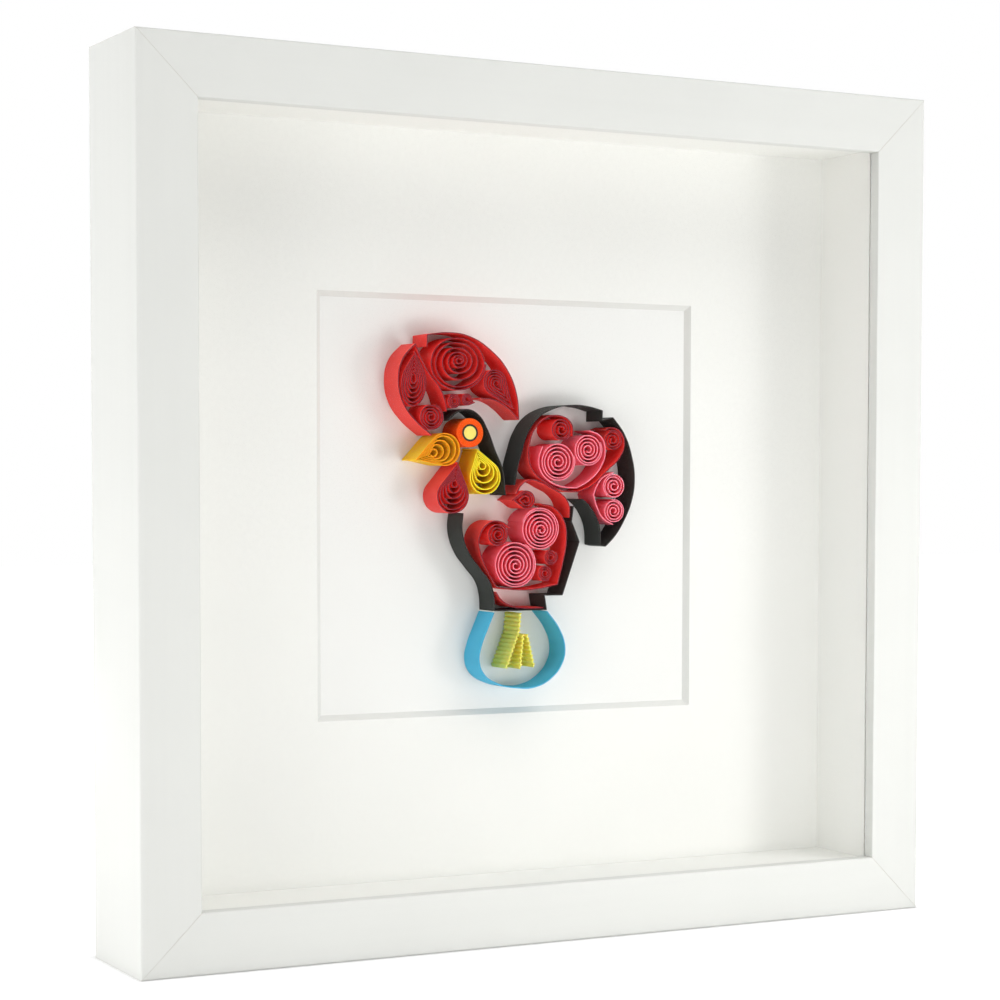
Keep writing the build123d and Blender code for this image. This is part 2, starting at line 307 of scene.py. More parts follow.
def paperMaterial(slot):
    # dyed quilling paper: bright faces, and a cut edge that looks to the front, with a tone that is partly
    # the paper's own and partly painted light: darker edges paint the shade deep between the turns, lighter
    # edges paint a highlight where they catch the light
    look = paperLooks[slot]
    material, tree, shader, coords = newMaterial(slot.replace("paper_", "quilling") + "Paper")
    face, edge = linear(*look["face"]), linear(*look["edge"])
    normal = addNode(tree, "ShaderNodeNewGeometry").outputs["True Normal"]
    forwards = addNode(tree, "ShaderNodeSeparateXYZ", {0: normal}).outputs[1]
    cut = remap(tree, forwards, 1.0, 0.0, *paperFinish["cutEdge"])
    fibre = noise(tree, coords, paperFinish["fibre"], detail=2, roughness=0.7)
    cloud = noise(tree, coords, paperFinish["cloud"], detail=1)
    light, dark = (mixColour(tree, cut, shaded(face, amount), shaded(edge, amount))
                   for amount in (1, paperFinish["shade"]))
    patches = remap(tree, blend(tree, fibre, cloud), 1.0, 0.0, *paperFinish["patches"])
    feed(tree, shader, {
        "Base Color": mixColour(tree, patches, light, dark),
        "Roughness": remap(tree, fibre, *paperFinish["roughness"]),
        "Specular IOR Level": paperFinish["specular"],
        "Subsurface Weight": paperFinish["seepShare"] if look["seep"] else 0,
        "Subsurface Scale": look["seep"] * mm,
        "Subsurface Radius": paperFinish["seepRadius"],
    })
    addBump(tree, shader, fibre, paperFinish["relief"])
    return material


def glassMaterial():
    # thin picture glass: clear, with a weak mirror that grows at a slant
    material, tree, shader, coords = newMaterial("pictureGlass")
    tree.nodes.remove(shader)
    roughness = remap(tree, noise(tree, coords, glassLook["smear"], detail=3), *glassLook["roughness"])
    clear = addNode(tree, "ShaderNodeBsdfTransparent", {"Color": glassLook["tint"]}).outputs[0]
    mirror = addNode(tree, "ShaderNodeBsdfGlossy", {"Roughness": roughness}).outputs[0]
    # only the pane's outward faces mirror, or it would turn dark from the inside at a slant
    inside = addNode(tree, "ShaderNodeNewGeometry").outputs["Backfacing"]
    sheen = addNode(tree, "ShaderNodeFresnel", {"IOR": glassLook["sheen"]}).outputs[0]
    sheen = calc(tree, "MULTIPLY", sheen, calc(tree, "SUBTRACT", 1, inside))
    pane = addNode(tree, "ShaderNodeMixShader", {0: sheen, 1: clear, 2: mirror}).outputs[0]
    # beyond the fillets' inner faces the back of the pane shows the board it rests on, with a painted glow
    # added that lifts the shade where the pane meets the fillets
    spot = addNode(tree, "ShaderNodeSeparateXYZ", {0: coords}).outputs
    upright = calc(tree, "ABSOLUTE", calc(tree, "SUBTRACT", spot[2], frameMiddle * mm))
    reach = calc(tree, "MAXIMUM", calc(tree, "ABSOLUTE", spot[0]), upright)
    paneBack = frameSizes["lip"] + glassLook["backFrom"] - frameSizes["depth"] / 2
    atBack = calc(tree, "GREATER_THAN", spot[1], paneBack * mm)
    hidden = calc(tree, "GREATER_THAN", reach, frameSizes["opening"] * mm / 2)
    rimColour = linear(*boardLooks["fillet"]["colour"])
    board = addNode(tree, "ShaderNodeBsdfDiffuse", {"Color": rimColour}).outputs[0]
    # painted glow: an emission that brightens the shaded rim, though it is no lamp
    paintedRimGlow = addNode(tree, "ShaderNodeEmission",
                    {"Color": rimColour, "Strength": glassLook["rimPaintedGlow"]}).outputs[0]
    rim = addNode(tree, "ShaderNodeAddShader", {0: board, 1: paintedRimGlow}).outputs[0]
    covered = calc(tree, "MULTIPLY", hidden, atBack)
    surface = addNode(tree, "ShaderNodeMixShader", {0: covered, 1: pane, 2: rim}).outputs[0]
    feed(tree, tree.nodes["Material Output"], {"Surface": surface})
    return material


def steelMaterial():
    # zinc plated steel, finely brushed
    material, tree, shader, coords = newMaterial("zincSteel")
    base = linear(*steelLook["colour"])
    brushed = noise(tree, coords, 1, detail=4, roughness=0.6, stretch=steelLook["brushing"])
    cloud = noise(tree, coords, steelLook["cloud"], detail=3)
    feed(tree, shader, {
        "Base Color": mixColour(tree, remap(tree, cloud, 0.0, 1.0), shaded(base, steelLook["shade"]), base),
        "Roughness": remap(tree, brushed, *steelLook["roughness"]),
        "Metallic": 1,
    })
    addBump(tree, shader, brushed, steelLook["relief"])
    return material


def fibreboardMaterial():
    material, tree, shader, coords = newMaterial("fibreboard")
    light, dark = linear(*fibreLook["light"]), linear(*fibreLook["dark"])
    flecks = noise(tree, coords, 1, detail=5, roughness=0.75, stretch=fibreLook["flecks"])
    cloud = noise(tree, coords, fibreLook["cloud"], detail=4)
    tone = blend(tree, flecks, cloud, fibreLook["fleckShare"])
    feed(tree, shader, {
        "Base Color": mixColour(tree, remap(tree, tone, 0.0, 1.0, *fibreLook["patches"]), dark, light),
        "Roughness": remap(tree, flecks, *fibreLook["roughness"]),
    })
    addBump(tree, shader, flecks, fibreLook["relief"])
    return material


levelPaint = paintMaterial("whitePaintLevel", (14, 320, 320))
uprightPaint = paintMaterial("whitePaintUpright", (320, 320, 14))
matBoard, artCard, filletBoard = (boardMaterial(name) for name in boardLooks)
pictureGlass = glassMaterial()
zincSteel = steelMaterial()
fibreboard = fibreboardMaterial()
papers = {slot: paperMaterial(slot) for slot in paperLooks}
print("materials made")


# Frame: four mitred lengths of rebated moulding

def mouldingRail(name, quarter, material, roundSteps=5):
    sizes = {key: value * mm for key, value in frameSizes.items()}
    front, middle = -sizes["depth"] / 2, sizes["size"] / 2
    rebate = front + sizes["lip"]
    profile = [
        (front, 0, "outerRound"), (-front, 0, "outerRound"), (-front, sizes["wall"], None),
        (rebate, sizes["wall"], None), (rebate, sizes["face"], None), (front, sizes["face"], "lipRound"),
    ]
    work = bmesh.new()
    ends = []
    for side in (-1, 1):
        ends.append([work.verts.new((side * (middle - up), depth, up)) for depth, up, _ in profile])
    for end in ends:
        work.faces.new(end)
    count = len(profile)
    for i in range(count):
        j = (i + 1) % count
        work.faces.new((ends[0][i], ends[0][j], ends[1][j], ends[1][i]))
    bmesh.ops.recalc_face_normals(work, faces=work.faces)
    for key in ("outerRound", "lipRound"):
        corners = [i for i in range(count) if profile[i][2] == key]
        edges = [work.edges.get((ends[0][i], ends[1][i])) for i in corners]
        bmesh.ops.bevel(work, geom=edges, offset=sizes[key], segments=roundSteps, profile=0.5,
                        affect="EDGES")
    caps = [e for e in work.edges if all(abs(abs(v.co.x) - (middle - v.co.z)) < 1e-6 for v in e.verts)]
    bmesh.ops.bevel(work, geom=caps, offset=sizes["mitreEase"], segments=1, affect="EDGES")
    pivot = Matrix.Translation((0, 0, middle))
    work.transform(pivot @ Matrix.Rotation(radians(90 * quarter), 4, "Y") @ pivot.inverted())
    return finishMesh(work, name, material, sharpAngle=25)


rails = {
    "bottom_rail": ("bottomRailPainted", levelPaint), "left_stile": ("leftStilePainted", uprightPaint),
    "top_rail": ("topRailPainted", levelPaint), "right_stile": ("rightStilePainted", uprightPaint),
}
for quarter, (node, (name, material)) in enumerate(rails.items()):
    place(mouldingRail(name, quarter, material), "frame_white", node)
print("moulding done")


# Sheets in the rebate keep their CAD shape

carriedOver = {
    "glazing": pictureGlass, "window_mat": matBoard, "artwork_card": artCard, "back_board": fibreboard,
    "left_spacer": filletBoard, "right_spacer": filletBoard,
    "top_spacer": filletBoard, "bottom_spacer": filletBoard,
}
for node, material in carriedOver.items():
    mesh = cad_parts[node].data
    mesh.materials.clear()
    mesh.materials.append(material)
# light falls through the glass without being traced into it
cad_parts["glazing"].visible_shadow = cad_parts["glazing"].visible_diffuse = False
print("sheets dressed")


# Fittings: one of each is drawn round the middle of the frame, and a node tree sets out the rest

fittings = {
    "vNail": {"height": 12, "leg": 4, "thickness": 0.5, "spread": 50, "proud": 0.05, "ease": 0.06},
    "point": {
        "length": 12, "grip": 4, "width": 9, "thickness": 0.5, "spacing": 117,
        "cornerRound": 0.9, "ease": 0.08,
    },
    "rivet": {"shank": 2.4, "head": 4.2, "dome": 0.6, "steps": 6, "sides": 40},
    "hanger": {
        "length": 44, "height": 9, "thickness": 0.6, "rise": 0.9, "foot": 9,
        "pitch": 2.8, "depth": 1.8, "count": 7, "ease": 0.07,
    },
}
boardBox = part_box("back_board")
boardFront, boardBack = boardBox[0].y / mm, boardBox[1].y / mm
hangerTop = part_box("sawtooth_hanger")[1].z / mm


def newTree(name, inputs):
    tree = bpy.data.node_groups.new(name, "GeometryNodeTree")
    tree.interface.new_socket("Geometry", in_out="INPUT", socket_type="NodeSocketGeometry")
    for label, (kind, value) in inputs.items():
        socket = tree.interface.new_socket(label, in_out="INPUT", socket_type="NodeSocket" + kind)
        if value is not None:
            socket.default_value = value
    tree.interface.new_socket("Geometry", in_out="OUTPUT", socket_type="NodeSocketGeometry")
    return tree, tree.nodes.new("NodeGroupInput").outputs


def bakeNodes(host, tree, values, name):
    # sets the tree's named inputs, then keeps its result as a plain mesh
    modifier = host.modifiers.new(tree.name, "NODES")
    modifier.node_group = tree
    for item in tree.interface.items_tree:
        if item.in_out == "INPUT" and item.name in values:
            modifier[item.identifier] = values[item.name]
    depsgraph = bpy.context.evaluated_depsgraph_get()
    mesh = bpy.data.meshes.new_from_object(host.evaluated_get(depsgraph), depsgraph=depsgraph)
    mesh.name = name
    bpy.data.objects.remove(host)
    return linkObject(bpy.data.objects.new(name, mesh))


def roundFrameTree():
    # copies of a fitting in a row along one or more sides of the frame
    tree, inputs = newTree("roundFrame", {
        "Count": ("Int", 1), "Spacing": ("Float", 0.0), "Sides": ("Int", 4), "Middle": ("Vector", None),
        "Finish": ("Material", None),
    })
    index = addNode(tree, "GeometryNodeInputIndex").outputs[0]
    side = calc(tree, "FLOOR", calc(tree, "DIVIDE", index, inputs["Count"]))
    inRow = calc(tree, "SUBTRACT", index, calc(tree, "MULTIPLY", side, inputs["Count"]))
    rowMiddle = calc(tree, "MULTIPLY", calc(tree, "SUBTRACT", inputs["Count"], 1), 0.5)
    across = calc(tree, "MULTIPLY", calc(tree, "SUBTRACT", inRow, rowMiddle), inputs["Spacing"])
    turn = addNode(tree, "ShaderNodeCombineXYZ", {"Y": calc(tree, "MULTIPLY", side, pi / 2)}).outputs[0]
    step = addNode(tree, "ShaderNodeCombineXYZ", {"X": across}).outputs[0]
    turned = addNode(tree, "ShaderNodeVectorRotate", {"Vector": step, "Rotation": turn},
                     rotation_type="EULER_XYZ").outputs[0]
    spots = addNode(tree, "GeometryNodePoints", {
        "Count": calc(tree, "MULTIPLY", inputs["Count"], inputs["Sides"]),
        "Position": vectorCalc(tree, "ADD", turned, inputs["Middle"])}).outputs[0]
    rotation = addNode(tree, "FunctionNodeEulerToRotation", {"Euler": turn}).outputs[0]
    copies = addNode(tree, "GeometryNodeInstanceOnPoints", {
        "Points": spots, "Instance": inputs["Geometry"], "Rotation": rotation}).outputs[0]
    real = addNode(tree, "GeometryNodeRealizeInstances", {"Geometry": copies}).outputs[0]
    finish = addNode(tree, "GeometryNodeSetMaterial",
                     {"Geometry": real, "Material": inputs["Finish"]}).outputs[0]
    addNode(tree, "NodeGroupOutput", {"Geometry": finish})
    return tree


def setRound(work, node, name, count=1, spacing=0, sides=4):
    host = finishMesh(work, name + "_one", zincSteel, sharpAngle=40)
    values = {
        "Count": count, "Spacing": spacing * mm, "Sides": sides, "Middle": Vector((0, 0, frameMiddle)) * mm,
        "Finish": zincSteel,
    }
    place(bakeNodes(host, roundFrame, values, name), "steel", node)


def easeEdges(work, amount, sharpFrom=30, steps=2):
    sharp = [e for e in work.edges if e.is_manifold and e.calc_face_angle() > radians(sharpFrom)]
    bmesh.ops.bevel(work, geom=sharp, offset=amount * mm, segments=steps, profile=0.5, affect="EDGES")


def plate(outline, low, high, ease):
    # a flat outline in x and z, made solid from one depth to another
    work = bmesh.new()
    ends = [[work.verts.new((x * mm, depth * mm, z * mm)) for x, z in outline] for depth in (low, high)]
    for end in ends:
        work.faces.new(end)
    for i in range(len(outline)):
        j = (i + 1) % len(outline)
        work.faces.new((ends[0][i], ends[0][j], ends[1][j], ends[1][i]))
    bmesh.ops.recalc_face_normals(work, faces=work.faces)
    easeEdges(work, ease)
    return work


def vNail(size):
    # a bent strip whose point is at the corner and whose legs reach along the two rails
    half, leg, spread = size["thickness"] / 2, size["leg"], radians(size["spread"])
    along, off = cos(spread), sin(spread)
    end = [(leg * along + half * off, leg * off - half * along),
           (leg * along - half * off, leg * off + half * along)]
    otherEnd = [(inwards, -aside) for inwards, aside in reversed(end)]
    outline = [(half / off, 0), *end, (-half / off, 0), *otherEnd]
    # turned by 45 degrees, to lie on the lower left mitre
    corner = frameMiddle - frameSizes["wall"] / 2
    turned = [((inwards - aside) / 2 ** 0.5 - corner, (inwards + aside) / 2 ** 0.5 - corner)
              for inwards, aside in outline]
    back = frameSizes["depth"] / 2
    return plate(turned, back - size["height"], back + size["proud"], size["ease"])


def framersPoint(size):
    # a flat tab pushed into the rabbet wall, rounded where it lies on the board
    low = frameSizes["wall"] - size["grip"] - frameMiddle
    top, half, bend = low + size["length"], size["width"] / 2, size["cornerRound"]
    arc = [radians(15 * i) for i in range(7)]  # a quarter circle
    bends = [(half - bend + bend * cos(a), top - bend + bend * sin(a)) for a in arc]
    outline = [(-half, low), (half, low), *bends, *((-x, z) for x, z in reversed(bends))]
    return plate(outline, boardBack, boardBack + size["thickness"], size["ease"])


def spun(profile, x, z, sides, closed=False):
    # a profile of radius and depth, spun round a line that runs from front to back
    work = bmesh.new()
    verts = [work.verts.new(((x + radius) * mm, depth * mm, z * mm)) for radius, depth in profile]
    edges = [work.edges.new(pair) for pair in zip(verts, verts[1:] + (verts[:1] if closed else []))]
    bmesh.ops.spin(work, geom=verts + edges, cent=(x * mm, 0, z * mm), axis=(0, 1, 0), angle=2 * pi,
                   steps=sides, use_merge=True)
    return work


def domedRivet(size, hanger):
    # a shank through the board, its domed head on the hanger
    seat = boardBack + hanger["thickness"]
    profile = [(0, boardFront), (size["shank"] / 2, boardFront), (size["shank"] / 2, seat)]
    for i in range(size["steps"] + 1):
        lean = pi / 2 * i / size["steps"]
        profile.append((size["head"] / 2 * cos(lean), seat + size["dome"] * sin(lean)))
    return spun(profile, 0, hangerTop - hanger["height"] / 2 - frameMiddle, size["sides"])


def hangerStrip(size):
    # columns across the bent strip, their lower ends on the line of the saw teeth
    half, thickness = size["length"] / 2, size["thickness"]
    foot = half - size["foot"]
    raised, lean = foot - size["rise"], thickness / 2 * tan(pi / 8)
    notches = [(i - (size["count"] - 1) / 2) * size["pitch"] for i in range(size["count"])]
    sawLine = {half: 0, foot: 0, raised: 0}
    reach = size["pitch"] / 2
    for middle in notches:
        sawLine.update({middle - reach: 0, middle: size["depth"], middle + reach: 0})
    work = bmesh.new()
    columns = []
    for x in sorted({*sawLine, *(-x for x in sawLine)}):
        height = hangerTop - size["height"] + sawLine.get(x, 0)
        rise = size["rise"] * min(max((foot - abs(x)) / (foot - raised), 0), 1)
        shift = lean * (1 if x > 0 else -1) if abs(x) in (foot, raised) else 0
        back, front = boardBack + rise + thickness, boardBack + rise
        spots = [(x + shift, back, hangerTop), (x - shift, front, hangerTop), (x - shift, front, height),
                 (x + shift, back, height)]
        columns.append([work.verts.new(Vector(spot) * mm) for spot in spots])
    for left, right in zip(columns, columns[1:]):
        for i in range(4):
            j = (i + 1) % 4
            work.faces.new((left[i], left[j], right[j], right[i]))
    for end in (columns[0], columns[-1]):
        work.faces.new(end)
    bmesh.ops.recalc_face_normals(work, faces=work.faces)
    easeEdges(work, size["ease"])
    return work


roundFrame = roundFrameTree()
point, hanger = fittings["point"], fittings["hanger"]
rivetSpacing = hanger["length"] - hanger["foot"]
setRound(vNail(fittings["vNail"]), "corner_v_nails", "cornerNails")
setRound(framersPoint(point), "retaining_points", "framersPoints", count=2, spacing=point["spacing"])
rivet = domedRivet(fittings["rivet"], hanger)
setRound(rivet, "hanger_rivets", "hangerRivets", count=2, spacing=rivetSpacing, sides=1)
hangerPiece = finishMesh(hangerStrip(hanger), "sawtoothHanger", zincSteel, sharpAngle=30)
place(hangerPiece, "steel", "sawtooth_hanger")
print("fittings set out")


# Quilled paper. Places are millimetres from the middle of the window, right and up.

paperSizes = {
    "height": 10, "thickness": 0.3, "seam": 0.1, "core": 0.55, "stepsPerTurn": 60, "stepsPerBend": 10,
    "wobble": 0.05, "wobbleScale": 420, "crease": 38,
}
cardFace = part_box("artwork_card")[0].y
windowMiddle = frameMiddle * mm


def sweepPaper(tree, inputs, path):
    # sweeps the strip's section along a path, stands it on the card and sets its finish
    turned = addNode(tree, "GeometryNodeSetCurveNormal", {"Curve": path}, mode="Z_UP").outputs[0]
    section = addNode(tree, "GeometryNodeCurvePrimitiveQuadrilateral",
                      {"Width": inputs["Thickness"], "Height": inputs["Height"]}).outputs[0]
    halfDown = calc(tree, "MULTIPLY", inputs["Height"], -0.5)
    lift = addNode(tree, "ShaderNodeCombineXYZ", {"Y": halfDown}).outputs[0]
    raised = addNode(tree, "GeometryNodeTransform", {"Geometry": section, "Translation": lift}).outputs[0]
    strip = addNode(tree, "GeometryNodeCurveToMesh",
                    {"Curve": turned, "Profile Curve": raised, "Fill Caps": True}).outputs[0]
    smooth = addNode(tree, "GeometryNodeSetShadeSmooth", {"Geometry": strip}, domain="FACE").outputs[0]
    angle = addNode(tree, "GeometryNodeInputMeshEdgeAngle").outputs["Unsigned Angle"]
    crease = radians(paperSizes["crease"])
    hard = addNode(tree, "FunctionNodeCompare", {0: angle, 1: crease}, operation="GREATER_THAN").outputs[0]
    links = {"Geometry": smooth, "Selection": hard, "Shade Smooth": False}
    creased = addNode(tree, "GeometryNodeSetShadeSmooth", links, domain="EDGE").outputs[0]
    stood = addNode(tree, "GeometryNodeTransform", {
        "Geometry": creased, "Translation": (0, cardFace, windowMiddle),
        "Rotation": (pi / 2, 0, 0)}).outputs[0]
    real = addNode(tree, "GeometryNodeRealizeInstances", {"Geometry": stood}).outputs[0]
    finish = addNode(tree, "GeometryNodeSetMaterial",
                     {"Geometry": real, "Material": inputs["Paper"]}).outputs[0]
    addNode(tree, "NodeGroupOutput", {"Geometry": finish})


def wobbled(tree, inputs, position):
    # the small waver of a coil wound by hand
    links = {"Vector": position, "Scale": paperSizes["wobbleScale"], "Detail": 1.0}
    pattern = addNode(tree, "ShaderNodeTexNoise", links)
    offset = vectorCalc(tree, "SUBTRACT", pattern.outputs["Color"], (0.5, 0.5, 0.5))
    flat = vectorCalc(tree, "MULTIPLY", offset, (1, 1, 0))
    return vectorScale(tree, flat, inputs["Wobble"])


def grown(tree, start, end, share):
    return calc(tree, "ADD", start, calc(tree, "MULTIPLY", calc(tree, "SUBTRACT", end, start), share))


def coilTree():
    # a spiral that runs from an off-centre eye to a last turn that closes on itself,
    # its turns pinched towards a tip where one is set
    tree, inputs = newTree("quilledCoil", {
        "Centre": ("Vector", None), "Radius": ("Float", 5 * mm), "Turns": ("Float", 5.0),
        "Eye": ("Vector", None), "Tip": ("Float", 5 * mm), "Heading": ("Float", 0.0),
        "Stretch": ("Float", 1.0), "Growth": ("Float", 1.0), "Core": ("Float", 0.55 * mm),
        "Seam": ("Float", 0.1 * mm), "Steps": ("Int", 60), "Wobble": ("Float", 0.0),
        "Thickness": ("Float", 0.3 * mm), "Height": ("Float", 10 * mm), "Paper": ("Material", None),
    })
    turns = inputs["Turns"]
    count = calc(tree, "ADD", calc(tree, "ROUND", calc(tree, "MULTIPLY", turns, inputs["Steps"])), 1)
    line = addNode(tree, "GeometryNodeMeshLine", {"Count": count}, mode="OFFSET").outputs[0]
    turn = calc(tree, "DIVIDE", addNode(tree, "GeometryNodeInputIndex").outputs[0], inputs["Steps"])
    share = calc(tree, "MINIMUM", calc(tree, "DIVIDE", turn, calc(tree, "SUBTRACT", turns, 1)), 1)
    share = calc(tree, "POWER", share, inputs["Growth"])
    left = calc(tree, "MINIMUM", calc(tree, "SUBTRACT", turns, turn), 1)
    lap = calc(tree, "ADD", inputs["Thickness"], inputs["Seam"])
    outer = calc(tree, "SUBTRACT", inputs["Radius"], calc(tree, "MULTIPLY", inputs["Thickness"], 0.5))
    full = calc(tree, "SUBTRACT", outer, calc(tree, "MULTIPLY", lap, left))
    size = grown(tree, inputs["Core"], full, share)
    drawn = calc(tree, "MULTIPLY", full, calc(tree, "DIVIDE", inputs["Tip"], inputs["Radius"]))
    reach = grown(tree, inputs["Core"], drawn, share)
    angle = calc(tree, "MULTIPLY", turn, 2 * pi)
    wrapped = calc(tree, "FLOORED_MODULO", calc(tree, "ADD", angle, pi), 2 * pi)
    fromTip = calc(tree, "ABSOLUTE", calc(tree, "SUBTRACT", wrapped, pi))
    halfTip = calc(tree, "ARCCOSINE", calc(tree, "MINIMUM", calc(tree, "DIVIDE", size, reach), 1))
    lean = calc(tree, "MAXIMUM", calc(tree, "SUBTRACT", halfTip, fromTip), 0)
    length = calc(tree, "DIVIDE", size, calc(tree, "COSINE", lean))
    across = calc(tree, "MULTIPLY", length, calc(tree, "COSINE", angle))
    across = calc(tree, "MULTIPLY", across, inputs["Stretch"])
    along = calc(tree, "MULTIPLY", length, calc(tree, "SINE", angle))
    local = addNode(tree, "ShaderNodeCombineXYZ", {"X": across, "Y": along}).outputs[0]
    headed = addNode(tree, "ShaderNodeVectorRotate", {"Vector": local, "Angle": inputs["Heading"]},
                     rotation_type="Z_AXIS").outputs[0]
    eye = vectorScale(tree, inputs["Eye"], calc(tree, "SUBTRACT", 1, share))
    position = vectorCalc(tree, "ADD", vectorCalc(tree, "ADD", inputs["Centre"], eye), headed)
    position = vectorCalc(tree, "ADD", position, wobbled(tree, inputs, position))
    moved = addNode(tree, "GeometryNodeSetPosition", {"Geometry": line, "Position": position}).outputs[0]
    sweepPaper(tree, inputs, addNode(tree, "GeometryNodeMeshToCurve", {"Mesh": moved}).outputs[0])
    return tree


def stripTree():
    # a strip bent along the curve that it is put on
    tree, inputs = newTree("quilledStrip", {
        "Thickness": ("Float", 0.3 * mm), "Height": ("Float", 10 * mm), "Paper": ("Material", None),
    })
    sweepPaper(tree, inputs, inputs["Geometry"])
    return tree


def crimpTree():
    # a strip pleated into small even waves along its curve
    tree, inputs = newTree("crimpedStrip", {
        "Pitch": ("Float", 1.3 * mm), "Depth": ("Float", 0.24 * mm), "Steps": ("Int", 10),
        "Thickness": ("Float", 0.3 * mm), "Height": ("Float", 10 * mm), "Paper": ("Material", None),
    })
    step = calc(tree, "DIVIDE", inputs["Pitch"], inputs["Steps"])
    even = addNode(tree, "GeometryNodeResampleCurve", {"Curve": inputs["Geometry"], "Length": step},
                   mode="LENGTH").outputs[0]
    travelled = addNode(tree, "GeometryNodeSplineParameter").outputs["Length"]
    waves = calc(tree, "DIVIDE", travelled, inputs["Pitch"])
    wave = calc(tree, "COSINE", calc(tree, "MULTIPLY", waves, 2 * pi))
    tangent = addNode(tree, "GeometryNodeInputTangent").outputs[0]
    side = vectorCalc(tree, "CROSS_PRODUCT", (0, 0, 1), tangent)
    offset = vectorScale(tree, side, calc(tree, "MULTIPLY", wave, inputs["Depth"]))
    waved = addNode(tree, "GeometryNodeSetPosition", {"Geometry": even, "Offset": offset}).outputs[0]
    sweepPaper(tree, inputs, waved)
    return tree


def paperValues(slot):
    return {
        "Thickness": paperSizes["thickness"] * mm, "Height": paperSizes["height"] * mm,
        "Wobble": paperSizes["wobble"] * mm, "Paper": papers[slot],
    }


def quilledCoil(node, slot, shape):
    values = paperValues(slot)
    radius = shape["radius"]
    values.update({
        "Centre": Vector((*shape["centre"], 0)) * mm, "Radius": radius * mm,
        "Turns": float(shape["turns"]), "Tip": max(shape.get("tip", 0), radius) * mm,
        "Eye": Vector((*shape.get("eye", (0, 0)), 0)) * mm,
        "Heading": radians(shape.get("heading", 0)), "Stretch": float(shape.get("stretch", 1)),
        "Growth": float(shape.get("growth", 1)), "Core": paperSizes["core"] * mm,
        "Seam": paperSizes["seam"] * mm, "Steps": paperSizes["stepsPerTurn"],
    })
    host = linkObject(bpy.data.objects.new(node + "_host", bpy.data.meshes.new(node + "_host")))
    piece = bakeNodes(host, coilNodes, values, "quilled_" + node)
    place(piece, slot, node)


def curveThrough(name, runs):
    # one spline through every run, with a sharp fold where two runs meet
    curve = bpy.data.curves.new(name, "CURVE")
    curve.dimensions = "3D"
    curve.resolution_u = paperSizes["stepsPerBend"]
    points, folds = [], {0}
    for run in runs:
        points += run
        folds.add(len(points) - 1)
    spline = curve.splines.new("BEZIER")
    spline.bezier_points.add(len(points) - 1)
    for i, (point, spot) in enumerate(zip(spline.bezier_points, points)):
        point.co = Vector((*spot, 0)) * mm
        point.handle_left_type = point.handle_right_type = "FREE" if i in folds else "AUTO"
    bends = list(spline.bezier_points)
    for i in sorted(folds):
        here = bends[i].co
        before, after = bends[max(i - 1, 0)].co, bends[min(i + 1, len(bends) - 1)].co
        bends[i].handle_left = here + (before - here) / 3
        bends[i].handle_right = here + (after - here) / 3
    return linkObject(bpy.data.objects.new(name, curve))


def quilledStrip(node, slot, runs, tree, extra=None):
    values = paperValues(slot)
    values.update(extra or {})
    piece = bakeNodes(curveThrough(node + "_line", runs), tree, values, "quilled_" + node)
    place(piece, slot, node)


coilNodes, stripNodes, crimpNodes = coilTree(), stripTree(), crimpTree()

